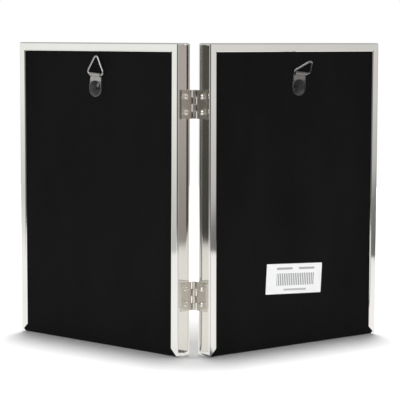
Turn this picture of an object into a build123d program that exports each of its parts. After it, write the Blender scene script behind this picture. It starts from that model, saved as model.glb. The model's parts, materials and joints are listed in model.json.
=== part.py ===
from build123d import *
import os
from math import cos, radians, sin

os.makedirs("parts", exist_ok=True)

# Hinged double photo frame, standing open as a V: the hinges are towards -Y, the picture faces towards +Y.
# Sizes are in millimetres and angles in degrees. The origin is on the floor, under the middle of the V.

# What the frame holds
print_width = 127.0
print_height = 178.0
print_thickness = 0.3
glass_thickness = 2.0
filler_thickness = 4.6
board_thickness = 2.8
velvet_thickness = 0.5

# Rolled channel of the rails
sheet_thickness = 1.1
front_border = 6.4
rear_lip = 5.2
front_edge_radius = 3.8
rear_edge_radius = 1.3
lip_edge_radius = 0.9
lip_edge_flat = 0.1
corner_radius = 2.8

# Clearances
edge_clearance = 0.3
slide_clearance = 0.3
board_side_gap = 0.5
board_end_gap = 0.4
board_corner_radius = 1.5
running_clearance = 0.04
thread_clearance = 0.02
hole_clearance = 0.1

# Butt hinges and the angle between the two picture faces as the frame stands
opening_angle = 101.4
hinge_height = 17.0
hinge_inset = 36.0
knuckle_count = 4
knuckle_gap = 0.15
leaf_thickness = 0.7
leaf_reach = 10.8
leaf_corner_radius = 1.0
leaf_notch_gap = 0.5
pin_radius = 0.5
axis_ahead = 0.4

# Slotted round-head screws, two in each leaf
screw_spacing = 9.2
screw_from_axis = 6.3
screw_head_radius = 1.7
screw_head_height = 0.85
screw_shank_radius = 0.85
screw_length = 3.1
screw_slot_width = 0.5
screw_slot_depth = 0.45

# Hangers, one on each back, turned and set off a little as they were riveted by hand
strap_thickness = 0.5
strap_foot_radius = 5.2
strap_top_width = 8.6
strap_rise = 8.4
hanger_drop = {"left": 27.8, "right": 26.7}
hanger_offset = {"left": 0.5, "right": 1.6}
hanger_tilt = {"left": -4.0, "right": 5.0}
ring_wire_radius = 0.65
ring_base = 14.8
ring_height = 12.4
ring_bend_radius = 1.8
ring_end_gap = 0.4
ring_swing = {"left": 0.0, "right": 50.0}
rivet_head_radius = 4.6
rivet_head_height = 1.5
rivet_shank_radius = 1.6
rivet_tail_radius = 3.0
rivet_tail_height = 0.8

# Paper label on the right back
label_width = 44.7
label_height = 18.6
label_thickness = 0.2
label_height_above_floor = 41.9
label_offset = -0.45
label_tilt = 3.2

# Sizes that follow from the ones above
print_inset = front_edge_radius + edge_clearance
panel_width = print_width + 2 * print_inset
panel_height = print_height + 2 * print_inset
glass_front = sheet_thickness
print_front = glass_front + glass_thickness
filler_front = print_front + print_thickness
filler_rear = filler_front + filler_thickness
board_front = filler_rear + slide_clearance
board_rear = board_front + board_thickness
velvet_rear = board_rear + velvet_thickness
panel_depth = velvet_rear + slide_clearance + sheet_thickness
back_inset = sheet_thickness + board_side_gap
back_top = panel_height - sheet_thickness - board_end_gap
barrel_radius = pin_radius + running_clearance + leaf_thickness
panel_turn = 90 - opening_angle / 2
lip_rounding = min(lip_edge_radius, sheet_thickness - lip_edge_flat)
loop_radius = ring_wire_radius + running_clearance
loop_outer_radius = loop_radius + strap_thickness
strap_depth = 2 * strap_thickness
hinge_centres = {"lower": hinge_inset, "upper": panel_height - hinge_inset}
knuckle_pitch = hinge_height / knuckle_count

# Plan positions of the V, with the hinge axis at the origin, give the shift that centres it on Y
turn_sin = sin(radians(panel_turn))
turn_cos = cos(radians(panel_turn))
spine_x = barrel_radius + rear_edge_radius
spine_y = rear_edge_radius - axis_ahead - panel_depth
v_rear = spine_x * turn_sin + spine_y * turn_cos - rear_edge_radius
wing_x = barrel_radius + panel_width - front_edge_radius
wing_y = -axis_ahead - front_edge_radius
v_front = wing_x * turn_sin + wing_y * turn_cos + front_edge_radius
axis_y = -(v_rear + v_front) / 2


def slab(inset, bottom, top, front, rear):
    """A plate between two heights and two depths, the same distance in from both side walls."""
    width = panel_width - 2 * inset
    middle = Pos(panel_width / 2, -(front + rear) / 2, (bottom + top) / 2)
    return middle * Box(width, rear - front, top - bottom)


def channel_section(with_rear_lip):
    """Section of a rail: x runs in from the outer wall and y runs back from the picture face."""
    inner_radius = front_edge_radius - sheet_thickness
    inner_rear = panel_depth - sheet_thickness
    bend_mid = 1 - cos(radians(45))
    outer_mid = front_edge_radius * bend_mid
    inner_mid = sheet_thickness + inner_radius * bend_mid
    rear_mid = rear_edge_radius * bend_mid
    lip_mid = lip_rounding * bend_mid
    with BuildSketch() as section:
        with BuildLine():
            Line((front_border, -sheet_thickness), (front_border, 0))
            Line((front_border, 0), (front_edge_radius, 0))
            ThreePointArc((front_edge_radius, 0), (outer_mid, -outer_mid), (0, -front_edge_radius))
            if with_rear_lip:
                Line((0, -front_edge_radius), (0, rear_edge_radius - panel_depth))
                ThreePointArc(
                    (0, rear_edge_radius - panel_depth),
                    (rear_mid, rear_mid - panel_depth),
                    (rear_edge_radius, -panel_depth),
                )
                Line((rear_edge_radius, -panel_depth), (rear_lip - lip_rounding, -panel_depth))
                ThreePointArc(
                    (rear_lip - lip_rounding, -panel_depth),
                    (rear_lip - lip_mid, lip_mid - panel_depth),
                    (rear_lip, lip_rounding - panel_depth),
                )
                Line((rear_lip, lip_rounding - panel_depth), (rear_lip, -inner_rear))
                Line((rear_lip, -inner_rear), (sheet_thickness, -inner_rear))
                Line((sheet_thickness, -inner_rear), (sheet_thickness, -front_edge_radius))
            else:
                Line((0, -front_edge_radius), (0, -filler_rear))
                Line((0, -filler_rear), (sheet_thickness, -filler_rear))
                Line((sheet_thickness, -filler_rear), (sheet_thickness, -front_edge_radius))
            ThreePointArc(
                (sheet_thickness, -front_edge_radius),
                (inner_mid, -inner_mid),
                (front_edge_radius, -sheet_thickness),
            )
            Line((front_edge_radius, -sheet_thickness), (front_border, -sheet_thickness))
        make_face()
    return section.sketch


def outline_block():
    """The panel's outline with its rounded corners, through the whole depth."""
    outline = Plane.XZ * Pos(panel_width / 2, panel_height / 2) * RectangleRounded(
        panel_width, panel_height, corner_radius
    )
    return extrude(outline, panel_depth)


def rail(start, run, inward, length, with_rear_lip):
    """A length of channel along one side of the panel, mitred at both ends and rounded at the corners."""
    section_plane = Plane(origin=start, x_dir=inward, z_dir=run)
    channel = extrude(section_plane * channel_section(with_rear_lip), length, dir=run)
    reach = front_border + rear_lip
    mitre_plane = Plane(origin=start, x_dir=run, z_dir=(0, -1, 0))
    rises = mitre_plane.to_local_coords(Vector(*start) + Vector(*inward)).Y
    mitre = Polygon(
        (0, 0),
        (length, 0),
        (length - reach, rises * reach),
        (reach, rises * reach),
        align=None,
    )
    mitre_block = extrude(mitre_plane * mitre, panel_depth, dir=(0, -1, 0))
    return channel & mitre_block & outline_block()


def side_screw_holes(hinge_rail):
    """Tapped holes in the hinge-side wall for both leaves' screws."""
    radius = screw_shank_radius + thread_clearance
    for height in screw_heights("lower") + screw_heights("upper"):
        bore_place = Pos(0, axis_ahead - screw_from_axis, height) * Rot(0, 90, 0)
        hinge_rail -= bore_place * Cylinder(radius, 4 * sheet_thickness)
    return hinge_rail


def screw_heights(hinge):
    centre = hinge_centres[hinge]
    return [centre - screw_spacing / 2, centre + screw_spacing / 2]


def panel_rails():
    """The four rails in order round the panel, from the foot of the hinge side."""
    hinge_rail = rail((0, 0, 0), (0, 0, 1), (1, 0, 0), panel_height, True)
    return {
        "hinge_rail": side_screw_holes(hinge_rail),
        "top_rail": rail((0, 0, panel_height), (1, 0, 0), (0, 0, -1), panel_width, True),
        "outer_rail": rail((panel_width, 0, panel_height), (0, 0, -1), (-1, 0, 0), panel_height, True),
        "bottom_rail": rail((panel_width, 0, 0), (-1, 0, 0), (0, 0, 1), panel_width, False),
    }


def picture_stack():
    """Glass, print and filler card, one behind the other against the front border."""
    low = print_inset
    high = panel_height - print_inset
    return {
        "glass": slab(print_inset, low, high, glass_front, print_front),
        "print": slab(print_inset, low, high, print_front, filler_front),
        "filler_card": slab(print_inset, low, high, filler_front, filler_rear),
    }


def hanger_place(side):
    """The rivet's place on the velvet, with x outwards, z up and -y away from the back."""
    across = panel_width / 2 + hanger_offset[side]
    return Pos(across, -velvet_rear, panel_height - hanger_drop[side]) * Rot(0, hanger_tilt[side], 0)


def rivet_hole(radius, depth):
    """A round cutter through the back, on the rivet's axis."""
    return Rot(90, 0, 0) * Cylinder(radius, 2 * depth)


def sliding_back(side):
    """Board core and the velvet that wraps its rear face and its edges."""
    wrapped = slab(back_inset, board_end_gap, back_top, board_front, velvet_rear)
    corners = wrapped.edges().filter_by(Axis.Y)
    wrapped = fillet(corners, board_corner_radius)
    core = slab(
        back_inset + velvet_thickness,
        board_end_gap + velvet_thickness,
        back_top - velvet_thickness,
        board_front,
        board_rear,
    )
    core = fillet(core.edges().filter_by(Axis.Y), board_corner_radius - velvet_thickness)
    cover = wrapped - core
    shank_hole = hanger_place(side) * rivet_hole(rivet_shank_radius + hole_clearance, panel_depth)
    tail_pocket = Pos(0, velvet_rear - board_front, 0) * rivet_hole(
        rivet_tail_radius + hole_clearance, rivet_tail_height
    )
    return {
        "back_board": core - shank_hole - hanger_place(side) * tail_pocket,
        "velvet_cover": cover - shank_hole,
    }


def hanger_strap():
    """Strip folded in two round the ring, with a rounded foot under the rivet."""
    foot = Plane.XZ * Circle(strap_foot_radius)
    tongue = Plane.XZ * Polygon(
        (-strap_foot_radius, 0),
        (strap_foot_radius, 0),
        (strap_top_width / 2, strap_rise),
        (-strap_top_width / 2, strap_rise),
        align=None,
    )
    plate = extrude(foot + tongue, strap_depth)
    loop_place = Pos(0, -loop_outer_radius, strap_rise) * Rot(0, 90, 0)
    strap = plate + loop_place * Cylinder(loop_outer_radius, strap_top_width)
    strap -= loop_place * Cylinder(loop_radius, 2 * strap_top_width)
    return strap - rivet_hole(rivet_shank_radius + hole_clearance, strap_depth)


def hanger_ring(swing):
    """Wire triangle whose two ends meet inside the strap's fold, swung out from the back."""
    half_base = ring_base / 2
    half_gap = ring_end_gap / 2
    path = Plane.XZ * FilletPolyline(
        (half_gap, 0),
        (half_base, 0),
        (0, ring_height),
        (-half_base, 0),
        (-half_gap, 0),
        radius=ring_bend_radius,
    )
    wire = sweep(Plane(origin=path @ 0, z_dir=path % 0) * Circle(ring_wire_radius), path=path)
    return Pos(0, -loop_outer_radius, strap_rise) * Rot(swing, 0, 0) * wire


def domed_profile(radius, height, shank_radius, shank_length):
    """Half section of a domed head on a round shank: x is the radius and y points out of the head."""
    sphere_radius = (radius**2 + height**2) / (2 * height)
    mid = radius / 2
    mid_height = (sphere_radius**2 - mid**2) ** 0.5 - sphere_radius + height
    with BuildSketch() as profile:
        with BuildLine():
            Line((0, -shank_length), (0, height))
            ThreePointArc((0, height), (mid, mid_height), (radius, 0))
            Line((radius, 0), (shank_radius, 0))
            Line((shank_radius, 0), (shank_radius, -shank_length))
            Line((shank_radius, -shank_length), (0, -shank_length))
        make_face()
    return profile.sketch


def hanger_rivet():
    """Domed rivet through the strap and the back, spread in a pocket in the board's front face."""
    grip = strap_depth + velvet_rear - board_front
    turned = revolve(domed_profile(rivet_head_radius, rivet_head_height, rivet_shank_radius, grip), Axis.Y)
    tail_place = Pos(0, rivet_tail_height / 2 - grip, 0) * Rot(90, 0, 0)
    turned += tail_place * Cylinder(rivet_tail_radius, rivet_tail_height)
    return Pos(0, -strap_depth, 0) * Rot(180, 0, 0) * turned


def paper_label():
    across = panel_width / 2 + label_offset
    place = Pos(across, -velvet_rear - label_thickness / 2, label_height_above_floor)
    return place * Rot(0, label_tilt, 0) * Box(label_width, label_thickness, label_height)


def hinge_screw():
    """Slotted round-head screw along +X, its head's underside on the plane x = 0."""
    turned = revolve(
        domed_profile(screw_head_radius, screw_head_height, screw_shank_radius, screw_length), Axis.Y
    )
    slot_floor = screw_head_height - screw_slot_depth
    slot = Pos(0, slot_floor + screw_head_height / 2, 0) * Box(
        3 * screw_head_radius, screw_head_height, screw_slot_width
    )
    return Rot(0, 0, 90) * (turned - slot)


def leaf_screws(hinge):
    """The two screws of one leaf, in the frame of the hinge axis."""
    seat = barrel_radius - leaf_thickness
    screws = [Pos(seat, -screw_from_axis, height) * hinge_screw() for height in screw_heights(hinge)]
    return Compound(children=screws)


def hinge_leaf(hinge, first_knuckle):
    """Leaf on the hinge-side wall, with every second knuckle of the barrel rolled from its front edge."""
    bottom = hinge_centres[hinge] - hinge_height / 2
    notch_edge = barrel_radius + leaf_notch_gap
    plate_length = leaf_reach - notch_edge
    plate = Pos(
        barrel_radius - leaf_thickness / 2, -(leaf_reach + notch_edge) / 2, bottom + hinge_height / 2
    ) * Box(leaf_thickness, plate_length, hinge_height)
    rear_edges = plate.edges().filter_by(Axis.X).group_by(Axis.Y)[0]
    leaf = fillet(rear_edges, leaf_corner_radius)
    knuckle_height = knuckle_pitch - knuckle_gap
    for index in range(first_knuckle, knuckle_count, 2):
        level = bottom + hinge_height - (index + 0.5) * knuckle_pitch
        neck = Pos(barrel_radius - leaf_thickness / 2, -notch_edge / 2, level) * Box(
            leaf_thickness, notch_edge, knuckle_height
        )
        leaf += neck + Pos(0, 0, level) * Cylinder(barrel_radius, knuckle_height)
    leaf -= Pos(0, 0, hinge_centres[hinge]) * Cylinder(pin_radius + running_clearance, 2 * hinge_height)
    for height in screw_heights(hinge):
        bore = Pos(barrel_radius, -screw_from_axis, height) * Rot(0, 90, 0)
        leaf -= bore * Cylinder(screw_shank_radius + hole_clearance, 4 * leaf_thickness)
    return leaf


def hinge_pin(hinge):
    return Pos(0, 0, hinge_centres[hinge]) * Cylinder(pin_radius, hinge_height)


def stand(piece, side):
    """Turn a piece from the hinge axis's flat-open frame to its panel's place in the standing V."""
    if side == "left":
        return Pos(0, axis_y, 0) * Rot(0, 0, -panel_turn) * mirror(piece, about=Plane.YZ)
    return Pos(0, axis_y, 0) * Rot(0, 0, panel_turn) * piece


def all_pieces():
    """Every piece by its node name, in the standing frame."""
    pieces = {}
    panel_corner = Pos(barrel_radius, -axis_ahead, 0)
    for side, first_knuckle in (("left", 1), ("right", 0)):
        panel = panel_rails() | picture_stack() | sliding_back(side)
        panel["hanger_strap"] = hanger_place(side) * hanger_strap()
        panel["hanger_ring"] = hanger_place(side) * hanger_ring(ring_swing[side])
        panel["hanger_rivet"] = hanger_place(side) * hanger_rivet()
        if side == "right":
            panel["label"] = paper_label()
        for name, piece in panel.items():
            pieces[f"{side}_{name}"] = stand(panel_corner * piece, side)
        for hinge in ("upper", "lower"):
            pieces[f"{hinge}_hinge_{side}_leaf"] = stand(hinge_leaf(hinge, first_knuckle), side)
            pieces[f"{hinge}_hinge_{side}_screws"] = stand(leaf_screws(hinge), side)
    for hinge in ("upper", "lower"):
        pieces[f"{hinge}_hinge_pin"] = stand(hinge_pin(hinge), "left")
    return pieces


for name, piece in all_pieces().items():
    export_step(piece, f"parts/{name}.step")

print(f"panel {panel_width:.1f} x {panel_height:.1f} x {panel_depth:.1f}, hinge axis at y = {axis_y:.3f}")
print(f"panels turned {panel_turn:.2f} degrees, barrel radius {barrel_radius:.3f}")
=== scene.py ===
import json
from contextlib import contextmanager
from math import asin, atan2, cos, pi, radians, sin, tan

import bmesh
import bpy
from bpy.props import FloatProperty, FloatVectorProperty, IntProperty, PointerProperty
from mathutils import Matrix, Vector


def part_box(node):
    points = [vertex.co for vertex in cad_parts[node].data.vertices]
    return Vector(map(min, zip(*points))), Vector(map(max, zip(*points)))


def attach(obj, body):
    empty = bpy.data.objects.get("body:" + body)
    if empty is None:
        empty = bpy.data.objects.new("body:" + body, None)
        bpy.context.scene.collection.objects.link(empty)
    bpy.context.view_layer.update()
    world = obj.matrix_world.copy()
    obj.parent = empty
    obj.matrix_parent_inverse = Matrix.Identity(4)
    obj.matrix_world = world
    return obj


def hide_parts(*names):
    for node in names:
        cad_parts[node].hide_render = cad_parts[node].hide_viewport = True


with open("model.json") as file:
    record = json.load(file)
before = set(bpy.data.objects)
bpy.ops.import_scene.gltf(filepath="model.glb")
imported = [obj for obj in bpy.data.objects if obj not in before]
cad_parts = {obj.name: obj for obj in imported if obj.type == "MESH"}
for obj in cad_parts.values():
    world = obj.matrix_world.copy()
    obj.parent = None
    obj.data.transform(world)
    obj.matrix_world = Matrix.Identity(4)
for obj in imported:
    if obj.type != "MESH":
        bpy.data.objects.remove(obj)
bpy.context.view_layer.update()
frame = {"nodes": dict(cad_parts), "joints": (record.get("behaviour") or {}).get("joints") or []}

bl_info = {
    "name": "Hinged double photo frame",
    "version": (1, 0, 0),
    "blender": (4, 5, 0),
    "location": "View3D > Sidebar > Photo frame",
    "description": "Dresses a folding pair of polished photo frames and stands it in a pale studio",
    "category": "Object",
}

SIDES = ("left", "right")
HINGES = ("upper", "lower")
JOINTS = {joint["name"]: joint for joint in frame["joints"]}
TINY = 1e-6
ON_EDGE = (0, radians(-90), 0)
# Degrees by which each screw's slot was left off upright
SLOT_TURNS = (4, -7, -10, 6, 3, 8, -5, 9)


# Where the panels stand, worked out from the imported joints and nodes

SPINE = Vector((*JOINTS["fold"]["pos_m"][:2], 0))
RING_LINE = JOINTS["right_ring_swing"]["axis"]
PANEL_TURN = atan2(RING_LINE[1], RING_LINE[0])


def panel_place(side):
    """From a panel's own frame (x from the hinge, y to the picture, z up) to the standing frame.

    The left panel is the right one mirrored, which turns shapes inside out."""
    axis = Matrix.Translation(SPINE)
    if side == "right":
        return axis @ Matrix.Rotation(PANEL_TURN, 4, "Z")
    return axis @ Matrix.Rotation(-PANEL_TURN, 4, "Z") @ Matrix.Diagonal((-1, 1, 1, 1))


def panel_box(*nodes):
    """Lowest and highest corner of right-hand nodes in their panel's own frame."""
    to_panel = panel_place("right").inverted()
    points = [to_panel @ vertex.co for node in nodes for vertex in frame["nodes"][node].data.vertices]
    low = Vector(min(p[k] for p in points) for k in range(3))
    high = Vector(max(p[k] for p in points) for k in range(3))
    return low, high


RAILS = ("hinge_rail", "top_rail", "outer_rail", "bottom_rail")
PANEL_LOW, PANEL_HIGH = panel_box(*("right_" + rail for rail in RAILS))
PANEL = PANEL_HIGH - PANEL_LOW
FLOOR_RAIL_DEPTH = PANEL_HIGH.y - panel_box("right_bottom_rail")[0].y
BACK_LOW, BACK_HIGH = panel_box("right_velvet_cover")
BACK = BACK_HIGH - BACK_LOW
LABEL_LOW, LABEL_HIGH = panel_box("right_label")
BARREL_RADIUS = PANEL_LOW.x
LEAF_REACH = -panel_box("upper_hinge_right_leaf")[0].y
PIN_BOXES = {hinge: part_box(hinge + "_hinge_pin") for hinge in HINGES}
HINGE_LEVELS = {hinge: (low[2] + high[2]) / 2 for hinge, (low, high) in PIN_BOXES.items()}
HINGE_HEIGHT = PIN_BOXES["upper"][1][2] - PIN_BOXES["upper"][0][2]


def chosen(group):
    """The user's settings for one group of pieces."""
    return getattr(bpy.context.scene.photo_frame, group)


def hanger_place(side):
    """The middle of the wire in a hanger's fold, with x along the wire, y into the back and z up."""
    swing = JOINTS[side + "_ring_swing"]
    along = Vector(swing["axis"]).normalized()
    inward = (panel_place(side).to_3x3() @ Vector((0, 1, 0))).normalized()
    turn = Matrix((along, inward, along.cross(inward))).transposed()
    return Matrix.Translation(swing["pos_m"]) @ turn.to_4x4()


def label_place():
    """The middle of the label's back, on the velvet, with x along the label and z up."""
    middle = (LABEL_LOW + LABEL_HIGH) / 2
    stuck = Matrix.Translation((middle.x, BACK_LOW.y, middle.z))
    return panel_place("right") @ stuck @ Matrix.Rotation(chosen("backs").label_tilt, 4, "Y")


# Finishes: shader nodes written as expressions

def operation(name, turned=False):
    """A method that adds a Math node, with its two values turned round for a reflected operator."""

    def method(self, other):
        return self.maths(name, other, self) if turned else self.maths(name, self, other)

    return method


class Value:
    """One output of a node. Arithmetic on it adds Math nodes."""

    def __init__(self, sheet, socket):
        self.sheet = sheet
        self.socket = socket

    def maths(self, name, *values):
        return self.sheet.node("Math", dict(enumerate(values)), operation=name)

    __add__ = __radd__ = operation("ADD")
    __sub__ = operation("SUBTRACT")
    __rsub__ = operation("SUBTRACT", turned=True)
    __mul__ = __rmul__ = operation("MULTIPLY")
    __truediv__ = operation("DIVIDE")
    __rtruediv__ = operation("DIVIDE", turned=True)
    __pow__ = operation("POWER")
    __rpow__ = operation("POWER", turned=True)
    __lt__ = operation("LESS_THAN")
    __gt__ = operation("GREATER_THAN")

    def __abs__(self):
        return self.maths("ABSOLUTE", self)

    def blend(self, off, on):
        """The colour off where this value is 0 and on where it is 1."""
        sockets = {"Factor_Float": self, "A_Color": off, "B_Color": on}
        return self.sheet.node("Mix", sockets, "Result_Color", data_type="RGBA")

    def between(self, low, high, start=0.0, end=1.0):
        """This value carried from low..high to start..end, and held there outside."""
        sockets = {"Value": self, "From Min": low, "From Max": high, "To Min": start, "To Max": end}
        return self.sheet.node("MapRange", sockets)

    def ramp(self, stops):
        return self.sheet.node("ValToRGB", {"Fac": self}, "Color", stops=stops)


class NodeSheet:
    """A node tree that is filled from nothing."""

    def __init__(self, tree):
        self.tree = tree
        tree.nodes.clear()

    @staticmethod
    def socket(sockets, key):
        if isinstance(key, int):
            return sockets[key]
        return next(s for s in sockets if key in (s.identifier, s.name))

    def node(self, kind, sockets, output=0, **settings):
        """A new node: its settings are made first, then its sockets are filled or linked."""
        made = self.tree.nodes.new("ShaderNode" + kind)
        for name, value in settings.items():
            if name == "stops":
                self.set_stops(made.color_ramp, value)
            else:
                setattr(made, name, value)
        for key, value in sockets.items():
            target = self.socket(made.inputs, key)
            if isinstance(value, Value):
                self.tree.links.new(value.socket, target)
            else:
                target.default_value = value
        return Value(self, self.socket(made.outputs, output)) if made.outputs else None

    @staticmethod
    def set_stops(ramp, stops):
        while len(ramp.elements) < len(stops):
            ramp.elements.new(1.0)
        for element, (position, colour) in zip(ramp.elements, stops):
            element.position = position
            element.color = colour

    def place(self, turn=0.0, stretch=(1.0, 1.0, 1.0)):
        """Object coordinates, turned about Z to run along a panel and stretched."""
        where = self.node("TexCoord", {}, "Object")
        level = self.node("Mapping", {"Vector": where, "Rotation": (0.0, 0.0, -turn)}, "Vector")
        return self.node("Mapping", {"Vector": level, "Scale": stretch}, "Vector")

    def noise(self, scale, detail=3.0, **place):
        sockets = {"Vector": self.place(**place), "Scale": scale, "Detail": detail}
        return self.node("TexNoise", sockets, "Fac")

    def bump(self, height, strength, distance):
        sockets = {"Height": height, "Strength": strength, "Distance": distance}
        return self.node("Bump", sockets, "Normal")

    def ray(self, kind):
        """1 for rays of one kind, such as Camera or Glossy, and 0 for the others."""
        return self.node("LightPath", {}, f"Is {kind} Ray")

    def split(self, vector):
        return [self.node("SeparateXYZ", {"Vector": vector}, axis) for axis in "XYZ"]

    def mixed(self, factor, first, second):
        return self.node("MixShader", {0: factor, 1: first, 2: second}, "Shader")


FINISHES = {}


def new_finish(name):
    """A material with an empty node sheet."""
    material = bpy.data.materials.new(name)
    material.use_nodes = True
    FINISHES[name] = material
    return NodeSheet(material.node_tree)


def finish(name, build, *options):
    """A material whose Principled shader gets its sockets from a function of its node sheet."""
    sheet = new_finish(name)
    shader = sheet.node("BsdfPrincipled", build(sheet, *options), "BSDF")
    sheet.node("OutputMaterial", {"Surface": shader})


def dimmed(colour, share):
    return tuple(share * channel for channel in colour)


def opaque(colour, share=1.0):
    """A colour for a socket, with a share of its brightness."""
    return (*dimmed(colour, share), 1.0)


def grey(level):
    return (level, level, level, 1.0)


def polished_silver(sheet, colour, turn, stretch):
    """Mirror-bright plate with faint polishing streaks along the rail and a cloudy film of handling."""
    streaks = sheet.noise(scale=900.0, detail=4.0, turn=turn, stretch=stretch)
    waves = sheet.noise(scale=18.0, detail=1.0, turn=turn, stretch=stretch)
    film = sheet.noise(scale=35.0).between(0.35, 0.75)
    return {
        "Base Color": (film * 0.6).blend(opaque(colour), opaque(colour, 0.94)),
        "Metallic": 1.0,
        "Roughness": 0.035 + film * 0.03 + streaks * 0.025,
        "Normal": sheet.bump(waves + streaks * 0.04, strength=0.12, distance=0.0004),
    }


def bright_nickel(sheet, colour, roughness):
    """Barrel-plated small hardware: a bright metal with a fine tumbled grain."""
    grain = sheet.noise(scale=2600.0)
    cloud = sheet.noise(scale=220.0, detail=2.0)
    return {
        "Base Color": cloud.blend(opaque(colour), opaque(colour, 0.86)),
        "Metallic": 1.0,
        "Roughness": roughness + grain * 0.12,
        "Normal": sheet.bump(grain, strength=0.12, distance=0.00006),
    }


def black_velvet(sheet, colour):
    """Short black pile: tufts a fraction of a millimetre wide, with a slow nap where it was stroked."""
    tufts = sheet.noise(scale=2800.0, detail=2.0)
    pile = sheet.noise(scale=900.0)
    nap = sheet.noise(scale=45.0, detail=2.0, stretch=(1.0, 1.0, 0.35))
    depth = tufts * 0.6 + pile * 0.4
    shade = (depth * 0.75 + nap * 0.25).between(0.3, 0.7)
    return {
        "Base Color": shade.blend(opaque(colour, 0.45), opaque(colour, 1.5)),
        "Roughness": 1.0,
        "Specular IOR Level": 0.1,
        "Sheen Weight": 0.03,
        "Sheen Roughness": 0.4,
        "Sheen Tint": (0.55, 0.56, 0.6, 1.0),
        "Normal": sheet.bump(depth, strength=0.6, distance=0.0003),
    }


def plain_paper(sheet, colour):
    """Matt paper with a faint mottle of fibres."""
    fibres = sheet.noise(scale=1800.0, detail=4.0, stretch=(1.0, 1.0, 0.4))
    mottle = sheet.noise(scale=160.0)
    return {
        "Base Color": (fibres * 0.5 + mottle * 0.5).blend(opaque(colour, 0.95), opaque(colour)),
        "Roughness": 0.6 + fibres * 0.2,
        "Normal": sheet.bump(fibres, strength=0.08, distance=0.00005),
    }


def printed_label(sheet, colours):
    """White label paper with a block of even grey bars between short rules, in shares of its size."""
    backs = chosen("backs")
    place = label_place()
    where = sheet.node("TexCoord", {}, "Object")
    from_middle = sheet.node("VectorMath", {0: where, 1: place.translation}, "Vector", operation="SUBTRACT")
    turned = place.inverted().to_euler()
    flat = sheet.node("Mapping", {"Vector": from_middle, "Rotation": turned}, "Vector")
    across, _, up = sheet.split(flat)
    across = across / backs.label_width
    up = up / backs.label_height
    from_centre = abs(across - 0.02)
    block = (from_centre < 0.335) * (abs(up + 0.02) < 0.2)
    bars = across.maths("PINGPONG", across, 0.0165) > 0.0088
    upper_rules = (abs(up - 0.34) < 0.035) * (abs(from_centre - 0.2) < 0.14)
    lower_rule = (abs(up + 0.36) < 0.03) * (from_centre < 0.2)
    ink = block * bars + upper_rules * 0.75 + lower_rule * 0.6
    paper = plain_paper(sheet, colours.label)
    paper["Base Color"] = ink.blend(paper["Base Color"], opaque(colours.ink))
    return paper


def strap_with_painted_shade(sheet, colour, rivet_top):
    """Dull plate with painted shade: it goes darker below a level just under the rivet's top."""
    level = rivet_top - 0.0002
    soft = 0.0004
    plate = bright_nickel(sheet, colour, 0.3)
    _, _, height = sheet.split(sheet.place())
    # Painted shade: the plate's colour is darkened below the rivet's top
    painted_shade = height.between(level - soft, level + soft, 1.0, 0.0)
    plate["Base Color"] = painted_shade.blend(plate["Base Color"], opaque(colour, 0.45))
    return plate


def card_board(sheet, colour):
    """Brown kraft card with flecks of long fibre."""
    fibres = sheet.noise(scale=1400.0, detail=5.0, stretch=(1.0, 1.0, 0.15))
    flecks = sheet.noise(scale=700.0, detail=2.0).between(0.62, 0.7)
    card = fibres.blend(opaque(colour, 0.8), opaque(colour, 1.15))
    return {
        "Base Color": flecks.blend(card, opaque(colour, 0.6)),
        "Roughness": 0.8 + fibres * 0.15,
        "Normal": sheet.bump(fibres, strength=0.25, distance=0.0001),
    }


def dark_lacquer(sheet, colour):
    """Satin black lacquer, a little uneven where it was stamped."""
    cloud = sheet.noise(scale=400.0)
    return {
        "Base Color": cloud.blend(opaque(colour, 0.8), opaque(colour, 1.3)),
        "Roughness": 0.14 + cloud * 0.12,
        "Specular IOR Level": 0.4,
        "Normal": sheet.bump(cloud, strength=0.1, distance=0.0001),
    }


def window_glass(name, colour):
    """Clear float glass: it lets light straight through and mirrors more of it towards its edge."""
    sheet = new_finish(name)
    dust = sheet.noise(scale=60.0, detail=4.0).between(0.5, 0.8)
    clear = sheet.node("BsdfTransparent", {"Color": opaque(colour)}, "BSDF")
    mirror = sheet.node("BsdfPrincipled", {"Metallic": 1.0, "Roughness": 0.015 + dust * 0.05}, "BSDF")
    slant = sheet.node("LayerWeight", {"Blend": 0.5}, "Facing")
    share = 0.04 + 0.96 * slant**5 + dust * 0.015
    sheet.node("OutputMaterial", {"Surface": sheet.mixed(share, clear, mirror)})


# Settings that a user would change, with lengths in millimetres and angles in degrees

def setting(kind, unit_size=1, **options):
    """A function that makes a property from its name, its description and its default."""

    def make(name, description, value):
        return kind(name=name, description=description, default=value * unit_size, **options)

    return make


length = setting(FloatProperty, 0.001, unit="LENGTH")
angle = setting(FloatProperty, radians(1), subtype="ANGLE")
steps = setting(IntProperty, min=1)
ratio = setting(FloatProperty, subtype="FACTOR", min=0, max=1)
tint = setting(FloatVectorProperty, subtype="COLOR", min=0, max=1)
spot = setting(FloatVectorProperty, subtype="TRANSLATION")
focus = setting(FloatProperty, unit="CAMERA")


class FrameRails(bpy.types.PropertyGroup):
    """Sizes of the rolled rails."""

    sheet: length("Sheet", "Thickness of the rolled metal", 1.1)
    border: length("Border", "Width of the border round the picture", 6.4)
    lip: length("Rear lip", "Width of the lip that holds the back", 5.2)
    top_lip: length("Top lip", "Width of the top rail's lip", 5.45)
    flare: length("Flare", "Widening of the hinge rail's lip down to its foot", 0.6)
    front_bend: length("Front bend", "Outer radius of the bend at the picture face", 3.8)
    rear_bend: length("Rear bend", "Outer radius of the bend at the rear lip", 0.9)
    lip_round: length("Lip edge", "Rounding of the rear lip's free edge", 0.9)
    top_corner: length("Top corner", "Radius of the panel's upper corners", 1.6)
    foot_corner: length("Foot corner", "Radius of the panel's lower corners", 3.2)
    edge_break: length("Broken edge", "Rounding of the border's free edges", 0.2)
    seam: length("Seam", "Edge broken along the mitres", 0.1)
    bend_steps: steps("Bend steps", "Faces round the front bend", 16)
    corner_steps: steps("Corner steps", "Faces round half a corner", 6)


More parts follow.
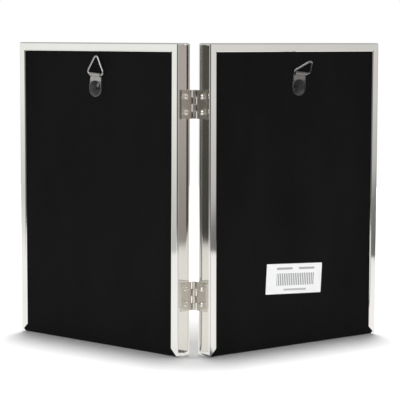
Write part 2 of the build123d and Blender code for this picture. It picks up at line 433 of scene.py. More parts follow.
class FrameBacks(bpy.types.PropertyGroup):
    """Sizes of the velvet and the label."""

    velvet: length("Velvet", "Thickness of the velvet", 0.5)
    corner: length("Corner", "Radius of the wrapped board's corners", 0.7)
    fold: length("Fold", "Rounding of the velvet over the board's edge", 0.42)
    label_width: length("Label width", "Long side of the label", 44.7)
    label_height: length("Label height", "Short side of the label", 18.6)
    label_corner: length("Label corner", "Radius of the label's corners", 0.4)
    label_tilt: angle("Label tilt", "Turn of the label on the back", 3.2)


class FrameHinges(bpy.types.PropertyGroup):
    """Sizes of the hinges and their screws."""

    leaf: length("Leaf", "Thickness of a leaf", 0.7)
    notch: length("Notch", "Gap between the barrel and the leaf beside it", 0.5)
    leaf_corner: length("Leaf corner", "Radius of a leaf's corners", 1.0)
    edge_break: length("Broken edge", "Rounding of the stamped edges", 0.3)
    knuckles: steps("Knuckles", "Knuckles in a barrel", 4)
    knuckle_gap: length("Knuckle gap", "Play between two knuckles", 0.15)
    roll: angle("Roll", "How far a knuckle is rolled round its pin", 285)
    pin_radius: length("Pin radius", "Radius of the pin", 0.5)
    pin_round: length("Pin ends", "Rounding of the pin's ends", 0.2)
    screw_spacing: length("Screw spacing", "Distance between a leaf's two screws", 9.2)
    screw_set: length("Screw set", "Distance of the screws from the pin", 6.3)
    head_radius: length("Head radius", "Radius of a screw's head", 1.7)
    head_height: length("Head height", "Height of a screw's head", 0.85)
    head_break: length("Head edge", "Rounding of a screw's edges", 0.05)
    shank_radius: length("Shank radius", "Radius of a screw's shank", 0.85)
    shank_length: length("Shank length", "Length of a screw under its head", 3.1)
    threads: steps("Threads", "Turns of a screw's thread", 6)
    thread_core: ratio("Thread core", "Radius between a screw's threads, as a share of the shank's", 0.84)
    point: ratio("Point", "Radius of a screw's tip, as a share of the shank's", 0.4)
    slot_width: length("Slot width", "Width of the screwdriver slot", 0.5)
    slot_depth: length("Slot depth", "Depth of the screwdriver slot", 0.45)
    hole_play: length("Hole play", "Room round a shank in the leaf", 0.1)


class FrameHangers(bpy.types.PropertyGroup):
    """Sizes of the hangers."""

    strap: length("Strap", "Thickness of the folded strip", 0.5)
    foot_radius: length("Foot radius", "Radius of the strap's round foot", 5.2)
    top_width: length("Top width", "Width of the strap at the fold", 8.9)
    rise: length("Rise", "Height of the fold above the rivet", 8.4)
    edge_break: length("Broken edge", "Rounding of the strap's stamped edge", 0.22)
    play: length("Play", "Room round the wire in the fold", 0.04)
    crease: length("Crease", "Drop from the wire to the crease under the fold", 1.5)
    wrap: angle("Wrap", "How far the strip goes round the wire before it turns back", 222)
    wire: length("Wire radius", "Radius of the ring's wire", 0.65)
    base: length("Base", "Base of the ring's triangle", 15.2)
    height: length("Height", "Height of the ring's triangle", 12.8)
    bend: length("Bend", "Radius of the ring's corners", 1.8)
    end_gap: length("End gap", "Gap between the wire's ends in the fold", 0.4)
    rivet_radius: length("Rivet radius", "Radius of the rivet's head", 4.85)
    rivet_height: length("Rivet height", "Height of the rivet's head", 1.5)
    rivet_break: length("Rivet edge", "Rounding of the rivet's edges", 0.15)
    shank_radius: length("Shank radius", "Radius of the rivet's shank", 1.6)
    tail_radius: length("Tail radius", "Radius of the rivet's spread tail", 3.0)
    tail_height: length("Tail height", "Height of the rivet's spread tail", 0.8)


class FrameColours(bpy.types.PropertyGroup):
    """Colours of the finishes."""

    silver: tint("Silver", "Polished plate of the rails", (0.865, 0.85, 0.815))
    nickel: tint("Hinge nickel", "Plate of the hinges", (0.76, 0.73, 0.67))
    screw: tint("Screw nickel", "Plate of the screws", (0.88, 0.865, 0.84))
    strap: tint("Strap", "Dull plate of the hanger straps", (0.455, 0.441, 0.428))
    wire: tint("Ring wire", "Drawn wire, a little tarnished", (0.45, 0.445, 0.44))
    # Painted shade: the share of brightness kept by the right hanger's strap and wire
    right_hanger_painted_shade: ratio("Tarnish", "Brightness left on the right hanger", 0.6)
    rivet: tint("Rivet", "Satin black lacquer", (0.009, 0.009, 0.01))
    velvet: tint("Velvet", "Black pile of the backs", (0.0066, 0.0066, 0.007))
    label: tint("Label", "White label paper", (0.94, 0.94, 0.945))
    ink: tint("Ink", "Grey bars on the label", (0.22, 0.22, 0.23))
    insert: tint("Insert", "Plain paper in the picture's place", (0.82, 0.8, 0.76))
    card: tint("Filler card", "Brown card behind the picture", (0.42, 0.3, 0.19))
    board: tint("Back board", "Core of the sliding backs", (0.2, 0.12, 0.07))
    glass: tint("Glass", "Tint of the panes", (0.98, 0.99, 0.984))


class FrameStudio(bpy.types.PropertyGroup):
    """Camera and stage."""

    eye: spot("Eye", "Camera's place from the foot of the hinge line", (0.03187, -0.96365, 0.18986))
    pan: angle("Pan", "Camera's turn to the right", -1.689)
    pitch: angle("Pitch", "Camera's tilt downwards", 5.708)
    roll: angle("Roll", "Camera's turn about its own line", 0.16)
    lens: focus("Lens", "Focal length", 146.97)


class FrameSettings(bpy.types.PropertyGroup):
    """All the settings of the frame."""

    rails: PointerProperty(type=FrameRails)
    backs: PointerProperty(type=FrameBacks)
    hinges: PointerProperty(type=FrameHinges)
    hangers: PointerProperty(type=FrameHangers)
    colours: PointerProperty(type=FrameColours)
    studio: PointerProperty(type=FrameStudio)


# Modelling by hand: primitives, edit mode and modifiers

def make_active(piece):
    bpy.ops.object.select_all(action="DESELECT")
    piece.select_set(True)
    bpy.context.view_layer.objects.active = piece


def start(name, kind, scale=(1, 1, 1), **options):
    """Add a primitive with its place and size applied, alone in the selection."""
    if kind in ("plane", "cube"):
        options["size"] = 1
    getattr(bpy.ops.mesh, f"primitive_{kind}_add")(**options)
    piece = bpy.context.object
    piece.name = piece.data.name = name
    piece.scale = scale
    bpy.ops.object.transform_apply(location=True, rotation=True, scale=True)
    return piece


def disc(name, sides, radius, **place):
    return start(name, "circle", vertices=sides, radius=radius, fill_type="NGON", **place)


@contextmanager
def editing(piece):
    """Edit mode with everything selected."""
    make_active(piece)
    bpy.ops.object.mode_set(mode="EDIT")
    bpy.ops.mesh.select_all(action="SELECT")
    yield
    bpy.ops.object.mode_set(mode="OBJECT")


def pick_items(kind, test):
    """In edit mode, select the vertices, edges or faces whose points, taken together, pass a test."""
    piece = bpy.context.object
    bpy.ops.mesh.select_mode(type=kind)
    bpy.ops.mesh.select_all(action="DESELECT")
    mesh = bmesh.from_edit_mesh(piece.data)
    items = {"VERT": mesh.verts, "EDGE": mesh.edges, "FACE": mesh.faces}[kind]
    for item in items:
        points = [item] if kind == "VERT" else item.verts
        item.select_set(test([point.co for point in points]))
    mesh.select_flush_mode()
    bmesh.update_edit_mesh(piece.data)


def pick(kind, test=None, **place):
    """In edit mode, select what has every point at the given coordinates, or passing a test."""

    def fits(point):
        return all(near(getattr(point, axis), value) for axis, value in place.items())

    pick_items(kind, lambda points: all(map(test or fits, points)))


def near(first, second):
    return abs(first - second) < TINY


def move(step):
    bpy.ops.transform.translate(value=step)


def pull_edges(step):
    bpy.ops.mesh.extrude_edges_move(TRANSFORM_OT_translate={"value": step})


def pull_faces(step):
    bpy.ops.mesh.extrude_region_move(TRANSFORM_OT_translate={"value": step})


def spread(scale, centre=(0, 0, 0)):
    bpy.ops.transform.resize(value=scale, center_override=centre)


def pull_disc(rise, share):
    """Extrude a disc along Z and give it a share of its width."""
    pull_faces((0, 0, rise))
    spread((share, share, 1))


def roll_round(centre, axis, turn, count):
    """Extrude the selection round an axis, the way a right hand's fingers point."""
    bpy.ops.mesh.spin(steps=count, angle=-turn, center=centre, axis=axis)


def round_off(radius, count, affect="EDGES"):
    bpy.ops.mesh.bevel(offset=radius, segments=count, profile=0.5, affect=affect, clamp_overlap=True)


def rounded_block(name, size, middle, corner, count):
    """A block whose four edges along Y are rounded."""
    block = start(name, "cube", scale=size, location=middle)
    with editing(block):
        pick_items("EDGE", lambda ends: not near(ends[0].y, ends[1].y))
        round_off(corner, count)
    return block


def mark_line(point, normal, **options):
    """Cut new edges along a plane, without parting the mesh."""
    bpy.ops.mesh.select_all(action="SELECT")
    bpy.ops.mesh.bisect(plane_co=point, plane_no=normal, threshold=TINY, **options)


def slice_off(point, normal, fill=True):
    """Cut everything on the normal's side of a plane away and close the cut."""
    mark_line(point, normal, use_fill=fill, clear_outer=True)


def merge_points():
    bpy.ops.mesh.select_all(action="SELECT")
    bpy.ops.mesh.remove_doubles(threshold=TINY)


def face_outwards():
    merge_points()
    bpy.ops.mesh.normals_make_consistent(inside=False)


def apply_modifier(piece, kind, **settings):
    make_active(piece)
    modifier = piece.modifiers.new(kind.title(), kind)
    for name, value in settings.items():
        setattr(modifier, name, value)
    bpy.ops.object.modifier_apply(modifier=modifier.name)


def thicken(piece, thickness, offset):
    """Make a sheet into a closed piece."""
    apply_modifier(piece, "SOLIDIFY", thickness=thickness, offset=offset, use_even_offset=True)
    with editing(piece):
        face_outwards()


def break_edges(piece, width, degrees=40):
    """Take the sharpness off every edge that turns by more than an angle."""
    limit = {"limit_method": "ANGLE", "angle_limit": radians(degrees)}
    apply_modifier(piece, "BEVEL", width=width, segments=2, use_clamp_overlap=True, **limit)


def discard(piece):
    """Throw a piece away with its mesh."""
    bpy.data.meshes.remove(piece.data)


def cut_away(piece, cutter):
    """Take the cutter's shape out of a piece and throw the cutter away."""
    apply_modifier(piece, "BOOLEAN", operation="DIFFERENCE", object=cutter, solver="EXACT")
    discard(cutter)


def drill(piece, radius, centre, axis, reach):
    """A round hole through a piece."""
    turn = Vector((0, 0, 1)).rotation_difference(axis).to_euler()
    bit = start("bit", "cylinder", vertices=32, radius=radius, depth=reach, location=centre, rotation=turn)
    cut_away(piece, bit)


def smooth(piece, degrees):
    """Smooth shading between faces that meet at a small angle, with the flats kept flat."""
    make_active(piece)
    bpy.ops.object.shade_smooth_by_angle(angle=radians(degrees))
    apply_modifier(piece, "WEIGHTED_NORMAL", keep_sharp=True, weight=100)


def check_closed(piece):
    mesh = bmesh.new()
    mesh.from_mesh(piece.data)
    open_edges = sum(not edge.is_manifold for edge in mesh.edges)
    volume = mesh.calc_volume(signed=True)
    mesh.free()
    if open_edges or volume <= 0:
        raise RuntimeError(f"{piece.name} has {open_edges} open edges and a volume of {volume}")


def dress(piece, material):
    piece.data.materials.clear()
    piece.data.materials.append(FINISHES[material])


def settle(piece, matrix, body, material, node):
    """Put a finished piece in its place, dress it and let it stand for its CAD node."""
    piece.data.transform(matrix)
    if matrix.determinant() < 0:
        piece.data.flip_normals()
    check_closed(piece)
    smooth(piece, 35)
    dress(piece, material)
    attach(piece, body)
    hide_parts(node)


def copy_of(piece, name):
    other = piece.copy()
    other.data = piece.data.copy()
    other.name = other.data.name = name
    bpy.context.collection.objects.link(other)
    return other


def joined(name, pieces):
    make_active(pieces[0])
    for piece in pieces:
        piece.select_set(True)
    bpy.ops.object.join()
    pieces[0].name = pieces[0].data.name = name
    return pieces[0]


# The rails

def rolled_rail(name, span, depth, lip, corners, flare=0.0):
    """A mitred length of channel along +Z, with its outer wall at x = 0 and its picture face at y = 0."""
    rails = chosen("rails")
    middle = (0, -depth / 2, span / 2)
    rail = start(name, "plane", scale=(span, depth, 1), location=middle, rotation=ON_EDGE)
    with editing(rail):
        pick("EDGE", y=0)
        pull_edges((rails.border, 0, 0))
        if lip:
            pick("EDGE", x=0, y=-depth)
            pull_edges((lip, 0, 0))
            pick("VERT", x=lip, z=0)
            move((flare, 0, 0))
        pick("EDGE", x=0, y=0)
        round_off(rails.front_bend, rails.bend_steps)
    thicken(rail, rails.sheet, -1)
    with editing(rail):
        pick("EDGE", x=rails.border)
        round_off(rails.edge_break, 3)
        if lip:
            pick("EDGE", x=0, y=-depth)
            round_off(rails.rear_bend, 8)
            pick("EDGE", lambda p: p.x > lip - TINY and near(p.y, -depth))
            round_off(rails.lip_round, 8)
        for end, way, corner in ((0, -1, corners[0]), (span, 1, corners[1])):
            slice_off((0, 0, end), (1, 0, way))
            round_off(rails.seam, 1)
            centre = Vector((corner, 0, end - way * corner))
            for step in range(rails.corner_steps):
                turn = radians(45) * (step + 0.5) / rails.corner_steps
                out = Vector((-cos(turn), 0, way * sin(turn)))
                slice_off(centre + corner * out, out)
    return rail


def screw_holes(piece, radius, x, y, level):
    """A leaf's two screw holes, from a wall's x, the pin's y and the level of the hinge's middle."""
    hinges = chosen("hinges")
    for way in (-1, 1):
        centre = (x, y - hinges.screw_set, level + way * hinges.screw_spacing / 2)
        drill(piece, radius, centre, Vector((1, 0, 0)), 4 * hinges.leaf)


class FRAME_OT_rails(bpy.types.Operator):
    """Roll and mitre the four polished rails of each panel"""

    bl_idname = "photo_frame.rails"
    bl_label = "Polished rails"

    def execute(self, context):
        rails = chosen("rails")
        low = rails.foot_corner
        high = rails.top_corner
        width, depth, height = PANEL
        runs = {
            "hinge_rail": ((0, 0, 0), 0, height, depth, rails.lip, (low, high), rails.flare),
            "top_rail": ((0, 0, height), 90, width, depth, rails.top_lip, (high, high)),
            "outer_rail": ((width, 0, height), 180, height, depth, rails.lip, (high, low)),
            "bottom_rail": ((width, 0, 0), 270, width, FLOOR_RAIL_DEPTH, 0.0, (low, low)),
        }
        corner = Matrix.Translation((PANEL_LOW.x, PANEL_HIGH.y, PANEL_LOW.z))
        for part, (foot, turn, *shape) in runs.items():
            on_panel = corner @ Matrix.Translation(foot) @ Matrix.Rotation(radians(turn), 4, "Y")
            run = "upright" if turn in (0, 180) else "level"
            model = rolled_rail("rail", *shape)
            if part == "hinge_rail":
                for level in HINGE_LEVELS.values():
                    screw_holes(model, chosen("hinges").shank_radius, 0, -PANEL_HIGH.y, level)
            for side in reversed(SIDES):
                rail = copy_of(model, f"{side}_{part}_polished")
                place = panel_place(side) @ on_panel
                finish_name = f"silver_{side}_{run}"
                settle(rail, place, side + "_frame", finish_name, f"{side}_{part}")
            discard(model)
        return {"FINISHED"}


# The sliding backs

def wrapped_velvet(name):
    """Velvet stretched over the rear face and the edges of the board, open towards the picture."""
    backs = chosen("backs")
    cover = rounded_block(name, BACK, (BACK_HIGH + BACK_LOW) / 2, backs.corner, 8)
    with editing(cover):
        pick("FACE", y=BACK_HIGH.y)
        bpy.ops.mesh.delete(type="FACE")
        face_outwards()
    thicken(cover, backs.velvet, -1)
    with editing(cover):
        pick("EDGE", y=BACK_LOW.y)
        round_off(backs.fold, 6)
    return cover


class FRAME_OT_backs(bpy.types.Operator):
    """Stretch the velvet over the sliding backs and dress their boards"""

    bl_idname = "photo_frame.backs"
    bl_label = "Velvet backs"

    def execute(self, context):
        model = wrapped_velvet("velvet")
        for side in reversed(SIDES):
            board = side + "_back_board"
            cover = copy_of(model, side + "_velvet")
            settle(cover, panel_place(side), side + "_back", "velvet", side + "_velvet_cover")
            dress(frame["nodes"][board], "board")
        discard(model)
        return {"FINISHED"}


class FRAME_OT_pictures(bpy.types.Operator):
    """Dress the glass, the plain insert and the filler card"""

    bl_idname = "photo_frame.pictures"
    bl_label = "Picture stack"

    def execute(self, context):
        for side in SIDES:
            for part, material in (("glass", "glass"), ("print", "insert"), ("filler_card", "card")):
                dress(frame["nodes"][f"{side}_{part}"], material)
        return {"FINISHED"}


# The hinges

def rolled_leaf(name, first_knuckle):
    """A stamped leaf in the pin's frame: its plate on the wall, its knuckles rolled from the front edge."""
    hinges = chosen("hinges")
    middle = BARREL_RADIUS - hinges.leaf / 2
    front = -BARREL_RADIUS - hinges.notch
    top = HINGE_HEIGHT / 2
    pitch = HINGE_HEIGHT / hinges.knuckles
    size = (HINGE_HEIGHT, LEAF_REACH + front, 1)
    leaf = start(name, "plane", scale=size, location=(middle, (front - LEAF_REACH) / 2, 0), rotation=ON_EDGE)
    with editing(leaf):
        for index in range(first_knuckle, hinges.knuckles, 2):
            high = top - index * pitch - hinges.knuckle_gap / 2
            low = high - pitch + hinges.knuckle_gap
            mark_line((0, 0, high), (0, 0, 1))
            mark_line((0, 0, low), (0, 0, 1))
            pick("EDGE", lambda p: near(p.y, front) and low - TINY < p.z < high + TINY)
            pull_edges((0, -front, 0))
            roll_round((0, 0, 0), (0, 0, 1), hinges.roll, 28)
        pick("VERT", lambda p: near(p.y, -LEAF_REACH) and near(abs(p.z), top))
        round_off(hinges.leaf_corner, 6, "VERTICES")
        merge_points()
    thicken(leaf, hinges.leaf, 0)
    screw_holes(leaf, hinges.shank_radius + hinges.hole_play, middle, 0, 0)
    break_edges(leaf, hinges.edge_break)
    return leaf


def domed_head(name, radius, height, sides=40, rings=7):
    """A round head that stands on z = 0 and domes towards +Z."""
    head = disc(name, sides, radius)
    ball = (radius**2 + height**2) / (2 * height)
    rim = asin(radius / ball)
    level = 0.0
    width = radius
    with editing(head):
        for ring in range(1, rings + 1):
            slope = rim * (1 - ring / (rings + 0.5))
            rise = ball * cos(slope) - ball + height - level
            share = ball * sin(slope) / width
            pull_disc(rise, share)
            level += rise
            width *= share
        face_outwards()
    return head


def inset_underside(thickness):
    """In edit mode, inset the face of a round head that stands on z = 0."""
    pick("FACE", z=0)
    bpy.ops.mesh.inset(thickness=thickness)


def slotted_screw(name):
    """A round-head screw on z = 0 with a threaded shank below and a slot along X."""
    hinges = chosen("hinges")
    core = hinges.thread_core
    screw = domed_head(name, hinges.head_radius, hinges.head_height)
    pitch = hinges.shank_length / (hinges.threads + 1)
    with editing(screw):
        inset_underside(hinges.head_radius - hinges.shank_radius)
        for share in (core, 1 / core) * hinges.threads:
            pull_disc(-pitch / 2, share)
        pull_disc(-pitch, hinges.point)
        face_outwards()
    size = (3 * hinges.head_radius, hinges.slot_width, 2 * hinges.slot_depth)
    cut_away(screw, start("slot", "cube", scale=size, location=(0, 0, hinges.head_height)))
    break_edges(screw, hinges.head_break, 50)
    return screw


def headed_pin(name):
    """The hinge pin along Z with its two ends dressed round."""
    hinges = chosen("hinges")
    pin = start(name, "cylinder", vertices=28, radius=hinges.pin_radius, depth=HINGE_HEIGHT)
    with editing(pin):
        pick("EDGE", lambda p: near(abs(p.z), HINGE_HEIGHT / 2))
        round_off(hinges.pin_round, 4)
    return pin


class FRAME_OT_hinges(bpy.types.Operator):
    """Roll the leaves of both hinges, pin them and screw them on"""

    bl_idname = "photo_frame.hinges"
    bl_label = "Hinges"

    def execute(self, context):
        hinges = chosen("hinges")
        pin_model = headed_pin("pin")
        screw_model = slotted_screw("screw")
        leaf_models = {"left": rolled_leaf("left_leaf", 1), "right": rolled_leaf("right_leaf", 0)}
        seat = Matrix.Translation((BARREL_RADIUS - hinges.leaf, -hinges.screw_set, 0))
        outward = Matrix.Rotation(radians(-90), 4, "Y")
        turns = iter(SLOT_TURNS)
        for hinge in HINGES:
            level = Matrix.Translation((0, 0, HINGE_LEVELS[hinge]))
            pin = copy_of(pin_model, hinge + "_pin")
            place = Matrix.Translation(SPINE) @ level
            settle(pin, place, "left_frame", "nickel", hinge + "_hinge_pin")
            for side in SIDES:
                place = panel_place(side) @ level
                body = side + "_frame"
                leaf = copy_of(leaf_models[side], f"{hinge}_{side}_rolled_leaf")
                settle(leaf, place, body, "nickel", f"{hinge}_hinge_{side}_leaf")
                pair = []
                for way in (-1, 1):
                    screw = copy_of(screw_model, "screw")
                    rise = Matrix.Translation((0, 0, way * hinges.screw_spacing / 2))
                    twist = Matrix.Rotation(radians(90 + next(turns)), 4, "Z")
                    screw.data.transform(seat @ rise @ outward @ twist)
                    pair.append(screw)
                screws = joined(f"{hinge}_{side}_slotted_screws", pair)
                settle(screws, place, body, "screw", f"{hinge}_hinge_{side}_screws")
        for model in (pin_model, screw_model, *leaf_models.values()):
            discard(model)
        return {"FINISHED"}


# The hangers

def folded_strap(name):
    """A strip folded in two round the wire, which lies along X through the origin, with y into the back."""
    hangers = chosen("hangers")
    bend = hangers.wire + hangers.play + hangers.strap / 2
    front = bend - hangers.strap
    foot = -hangers.rise
    upright = (radians(90), 0, 0)
    strap = disc(name, 48, hangers.foot_radius, location=(0, bend, foot), rotation=upright)
    end = bend * Vector((0, cos(hangers.wrap), sin(hangers.wrap)))

    def at_gap(p):
        at_roll = near(p.y, end.y) and near(p.z, end.z)
        at_crease = near(p.y, front) and near(p.z, -hangers.crease)
        return at_roll or at_crease

    with editing(strap):
        slice_off((0, 0, foot), (0, 0, 1), fill=False)
        pick("EDGE", z=foot)
        pull_edges((0, 0, hangers.rise))
        taper = hangers.top_width / (2 * hangers.foot_radius)
        spread((taper, 1, 1), (0, bend, 0))
        bpy.ops.mesh.select_all(action="SELECT")
        bpy.ops.mesh.duplicate_move(TRANSFORM_OT_translate={"value": (0, -hangers.strap, 0)})
        pick("VERT", z=0, y=front)
        move((0, 0, -hangers.crease))
        pick("EDGE", z=0, y=bend)
        roll_round((0, 0, 0), (1, 0, 0), hangers.wrap, 22)
        pick("EDGE", at_gap)
        bpy.ops.mesh.bridge_edge_loops(number_cuts=6, interpolation="SURFACE", smoothness=0.8)
        face_outwards()
    # The two layers stay a hair apart
    thicken(strap, 0.96 * hangers.strap, 0)
    drill(strap, hangers.shank_radius, (0, bend, foot), Vector((0, 1, 0)), 6 * hangers.strap)
    break_edges(strap, hangers.edge_break)
    return strap


def bent_ring(name):
    """A wire triangle in the XZ plane whose two ends meet at the origin."""
    hangers = chosen("hangers")
    gap = hangers.end_gap / 2
    half = hangers.base / 2
    route = [(gap, 0), (half, 0), (0, hangers.height), (-half, 0), (-gap, 0)]
    route = [Vector((x, 0, z)) for x, z in route]
    here = route[0]
    wire = disc(name, 18, hangers.wire, location=here, rotation=(0, radians(90), 0))
    with editing(wire):
        for corner, ahead in zip(route[1:], route[2:]):
            into = (corner - here).normalized()
            out = (ahead - corner).normalized()
            turn = into.angle(out)
            tangent = hangers.bend * tan(turn / 2)
            axis = into.cross(out).normalized()
            begin = corner - tangent * into
            pull_faces(begin - here)
            roll_round(begin + hangers.bend * axis.cross(into), axis, turn, 12)
            here = corner + tangent * out
        pull_faces(route[-1] - here)
        face_outwards()
    return wire


def domed_rivet(name):
    """A rivet on z = 0 with its domed head above, and its shank and spread tail below."""
    hangers = chosen("hangers")
    grip = 2 * hangers.strap + BACK.y
    tail = hangers.tail_height
    rivet = domed_head(name, hangers.rivet_radius, hangers.rivet_height, sides=56, rings=9)
    with editing(rivet):
        inset_underside(hangers.rivet_radius - hangers.shank_radius)
        pull_faces((0, 0, tail - grip))
        pull_disc(-tail / 4, hangers.tail_radius / hangers.shank_radius)
        pull_faces((0, 0, -tail * 3 / 4))
        face_outwards()
    break_edges(rivet, hangers.rivet_break, 50)
    return rivet


class FRAME_OT_hangers(bpy.types.Operator):
    """Fold the straps, bend the rings and set the rivets of both hangers"""

    bl_idname = "photo_frame.hangers"
    bl_label = "Hangers"

    def execute(self, context):
        hangers = chosen("hangers")
        models = (folded_strap("strap"), bent_ring("ring"), domed_rivet("rivet"))
        top = hangers.wire + hangers.play - hangers.strap
        seat = Matrix.Translation((0, top, -hangers.rise)) @ Matrix.Rotation(radians(90), 4, "X")
        for side in SIDES:
            place = hanger_place(side)
            back = side + "_back"
            hang = -radians(JOINTS[side + "_ring_swing"]["range_deg"][0])
            swing = Matrix.Rotation(hang, 4, "X")
            names = (side + "_folded_strap", side + "_bent_ring", side + "_domed_rivet")
            strap, ring, rivet = map(copy_of, models, names)
            settle(strap, place, back, "strap_" + side, side + "_hanger_strap")
            settle(ring, place @ swing, side + "_ring", "wire_" + side, side + "_hanger_ring")
            settle(rivet, place @ seat, back, "rivet", side + "_hanger_rivet")
        for model in models:
            discard(model)
        return {"FINISHED"}


# The label

def paper_label(name):
    """A cut label, lying in the XZ plane with its middle at the origin and its back at y = 0."""
    backs = chosen("backs")
    thickness = BACK_LOW.y - LABEL_LOW.y
    size = (backs.label_width, thickness, backs.label_height)
    label = rounded_block(name, size, (0, -thickness / 2, 0), backs.label_corner, 4)
    cut_edge = 0.3 * thickness
    with editing(label):
        pick("EDGE", y=-thickness)
        round_off(cut_edge, 2)
    return label


class FRAME_OT_label(bpy.types.Operator):
    """Cut the paper label and stick it on the right back"""

    bl_idname = "photo_frame.label"
    bl_label = "Label"

    def execute(self, context):
        label = paper_label("right_paper_label")
        settle(label, label_place(), "right_back", "label", "right_label")
        return {"FINISHED"}


# The studio

def studio_floor():
    """A pale table under the frame. It ends a little outside the picture, and metal mirrors its edge."""
    table = start("studio_table", "plane", scale=(0.96, 1.6, 1), location=(0, 0.28, 0))
    sheet = new_finish("table")
    across, ahead, _ = sheet.split(sheet.place())
    across = across - SPINE.x
    ahead = ahead - SPINE.y
    # Painted shade: the table's colour goes dark in the corner of the fold, where little light reaches
    inside = (ahead - abs(across) * tan(PANEL_TURN)).between(-0.014, 0.0)
    away = (across * across + ahead * ahead) ** 0.5
    painted_fold_shade = inside * away.between(0.04, 0.17, 0.58, 0.0)
    white = sheet.node("BsdfDiffuse", {"Color": grey(0.9)}, "BSDF")
    black = sheet.node("BsdfDiffuse", {"Color": grey(0.0)}, "BSDF")
    matt = sheet.mixed(painted_fold_shade, white, black)
    seen = sheet.ray("Camera") + sheet.ray("Glossy") + sheet.ray("Transmission")
    glow = sheet.node("Emission", {"Strength": seen * 0.04}, "Emission")
    lit = sheet.node("AddShader", {0: matt, 1: glow}, "Shader")
    # Metal mirrors an even table with one dark wedge to the right of the camera
    bearing = across.maths("ARCTAN2", across, ahead * -1.0)
    from_left = bearing.between(radians(33), radians(37))
    to_right = bearing.between(radians(66), radians(70), 1.0, 0.0)
    bright, dark = (sheet.node("Emission", {"Strength": level}, "Emission") for level in (0.97, 0.17))
    even = sheet.mixed(from_left * to_right, bright, dark)
    sheet.node("OutputMaterial", {"Surface": sheet.mixed(sheet.ray("Glossy") * 0.85, lit, even)})
    FINISHES["table"].cycles.emission_sampling = "NONE"
    dress(table, "table")


# Walls that metal mirrors: degrees to the right of the way from the frame to the camera, and colour
ROOM = (
    (-180, (0.5, 0.5, 0.49)),
    (-130, (0.6, 0.6, 0.59)),
    (-95, (0.91, 0.92, 0.91)),
    (-77, (0.95, 0.97, 0.96)),
    (-62, (0.95, 0.95, 0.93)),
    (-56, (0.04, 0.04, 0.036)),
    (-28, (0.04, 0.04, 0.036)),
    (-25.5, (0.54, 0.495, 0.485)),
    (-12, (0.54, 0.495, 0.485)),
    (-4, (0.09, 0.09, 0.085)),
    (18, (0.08, 0.08, 0.075)),
    (28, (0.097, 0.097, 0.09)),
    (36, (0.18, 0.18, 0.17)),
    (50, (0.07, 0.07, 0.065)),
    (57, (0.75, 0.75, 0.74)),
    (70, (0.82, 0.82, 0.81)),
    (77, (0.77, 0.76, 0.75)),
    (88, (0.6, 0.6, 0.59)),
    (130, (0.55, 0.55, 0.54)),
    (180, (0.5, 0.5, 0.49)),
)
CEILING = (0.5, 0.5, 0.49)
GROUND = (0.7, 0.7, 0.69)
ZENITH = 1.05
SOFT_LIGHT = 0.12


def studio_world():
    """White to the eye, soft daylight to matt surfaces, and a half-dark room round the camera to metal."""
    world = bpy.data.worlds.new("studio")
    world.use_nodes = True
    sheet = NodeSheet(world.node_tree)
    across, ahead, up = sheet.split(sheet.node("TexCoord", {}, "Generated"))
    bearing = across.maths("ARCTAN2", across, ahead * -1.0)
    stops = [((degrees + 180) / 360, opaque(colour)) for degrees, colour in ROOM]
    walls = bearing.between(-pi, pi).ramp(stops)
    # The walls darken towards their foot, more so along a sloped skirting on the right
    far_right = bearing > radians(50)
    sloped = up - (bearing - radians(83)) * 0.2
    skirting = far_right * sloped.between(-0.097, -0.08, 0.36, 0.0)
    low = up.between(-0.132, -0.03, 0.56, 1.0) - skirting
    # On the far left they turn white towards their foot
    far_left = bearing.between(radians(-86), radians(-83.5), 1.0, 0.0)
    paler = far_left * up.between(-0.125, -0.094, 1.0, 0.0)
    room = paler.blend(low.blend(grey(0.0), walls), grey(1.0))
    room = up.between(0.12, 0.4).blend(room, opaque(CEILING))
    room = up.between(-0.142, -0.134, 1.0, 0.0).blend(room, opaque(GROUND))
    room = up.between(0.8, 0.86).blend(room, grey(ZENITH))
    light = sheet.ray("Glossy").blend(grey(SOFT_LIGHT), room)
    shown = (sheet.ray("Camera") + sheet.ray("Transmission")).blend(light, grey(1.0))
    glow = sheet.node("Background", {"Color": shown, "Strength": 1.0}, "Background")
    sheet.node("OutputWorld", {"Surface": glow})
    bpy.context.scene.world = world


# Softboxes: place, size, power, and whether metal mirrors it, or else matt surfaces catch its light
LAMPS = {
    "overhead_softbox": ((0.0, 0.42, 3.2), (0.6, 0.9), 108.0, False),
    "rear_fill": ((0.15, -2.2, 0.33), (1.2, 0.6), 32.0, False),
    "picture_fill": ((0.0, 1.8, 0.3), (1.2, 0.4), 12.0, False),
    "left_softbox": ((-0.88, -0.92, 0.75), (0.3, 0.85), 5.0, True),
}


def studio_lamp(name, place, size, power, mirrored):
    """A softbox that faces the middle of the frame."""
    aim = Vector((0, 0, PANEL_HIGH.z / 2)) - Vector(place)
    bpy.ops.object.light_add(type="AREA", location=place, rotation=aim.to_track_quat("-Z", "Y").to_euler())
    lamp = bpy.context.object
    lamp.name = name
    lamp.data.shape = "RECTANGLE"
    lamp.data.size, lamp.data.size_y = size
    lamp.data.energy = power
    lamp.visible_glossy = mirrored
    lamp.visible_diffuse = not mirrored


def studio_camera():
    """The camera, standing behind the frame."""
    studio = chosen("studio")
    level = Matrix.Rotation(-studio.pan, 3, "Z") @ Matrix.Rotation(pi / 2 - studio.pitch, 3, "X")
    bpy.ops.object.camera_add()
    camera = bpy.context.object
    camera.name = "camera"
    camera.location = SPINE + Vector(studio.eye)
    camera.rotation_euler = (level @ Matrix.Rotation(studio.roll, 3, "Z")).to_euler()
    camera.data.lens = studio.lens
    camera.data.sensor_width = 36.0
    camera.data.clip_start = 0.01
    bpy.context.scene.camera = camera


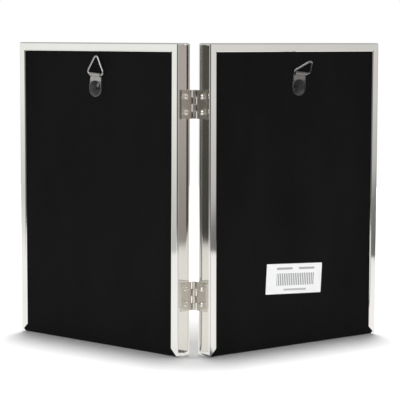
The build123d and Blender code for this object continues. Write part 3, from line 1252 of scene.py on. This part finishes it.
class FRAME_OT_studio(bpy.types.Operator):
    """Stand the frame on a pale table in soft light, in front of the camera"""

    bl_idname = "photo_frame.studio"
    bl_label = "Studio"

    def execute(self, context):
        studio_floor()
        studio_world()
        for name, lamp in LAMPS.items():
            studio_lamp(name, *lamp)
        studio_camera()
        context.scene.view_settings.view_transform = "Standard"
        return {"FINISHED"}


class FRAME_OT_finishes(bpy.types.Operator):
    """Mix the finishes of every piece"""

    bl_idname = "photo_frame.finishes"
    bl_label = "Finishes"

    def execute(self, context):
        colours = chosen("colours")
        for side, turn in (("right", PANEL_TURN), ("left", -PANEL_TURN)):
            for run, stretch in (("upright", (1.0, 1.0, 0.02)), ("level", (0.02, 1.0, 1.0))):
                finish(f"silver_{side}_{run}", polished_silver, colours.silver, turn, stretch)
        finish("nickel", bright_nickel, colours.nickel, 0.17)
        finish("screw", bright_nickel, colours.screw, 0.06)
        # Painted shade: the right hanger's strap and wire are darker copies of the left's colours
        for side, lit_share in (("left", 1.0), ("right", colours.right_hanger_painted_shade)):
            rivet_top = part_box(side + "_hanger_rivet")[1][2]
            finish("strap_" + side, strap_with_painted_shade, dimmed(colours.strap, lit_share), rivet_top)
            finish("wire_" + side, bright_nickel, dimmed(colours.wire, lit_share), 0.16)
        finish("rivet", dark_lacquer, colours.rivet)
        finish("velvet", black_velvet, colours.velvet)
        finish("label", printed_label, colours)
        finish("insert", plain_paper, colours.insert)
        finish("card", card_board, colours.card)
        finish("board", card_board, colours.board)
        window_glass("glass", colours.glass)
        return {"FINISHED"}


class FRAME_PT_photo_frame(bpy.types.Panel):
    """Steps that dress the frame, in order"""

    bl_idname = "FRAME_PT_photo_frame"
    bl_label = "Hinged double photo frame"
    bl_space_type = "VIEW_3D"
    bl_region_type = "UI"
    bl_category = "Photo frame"

    def draw(self, context):
        for step in STEPS:
            self.layout.operator(step.bl_idname)


STEPS = (
    FRAME_OT_finishes,
    FRAME_OT_rails,
    FRAME_OT_backs,
    FRAME_OT_pictures,
    FRAME_OT_hinges,
    FRAME_OT_hangers,
    FRAME_OT_label,
    FRAME_OT_studio,
)
GROUPS = (FrameRails, FrameBacks, FrameHinges, FrameHangers, FrameColours, FrameStudio, FrameSettings)
CLASSES = (*GROUPS, *STEPS, FRAME_PT_photo_frame)


def register():
    for item in CLASSES:
        bpy.utils.register_class(item)
    bpy.types.Scene.photo_frame = PointerProperty(type=FrameSettings)


def unregister():
    del bpy.types.Scene.photo_frame
    for item in reversed(CLASSES):
        bpy.utils.unregister_class(item)


def main():
    register()
    bpy.ops.photo_frame.finishes()
    bpy.ops.photo_frame.rails()
    bpy.ops.photo_frame.backs()
    bpy.ops.photo_frame.pictures()
    bpy.ops.photo_frame.hinges()
    bpy.ops.photo_frame.hangers()
    bpy.ops.photo_frame.label()
    bpy.ops.photo_frame.studio()


if __name__ == "__main__":
    main()
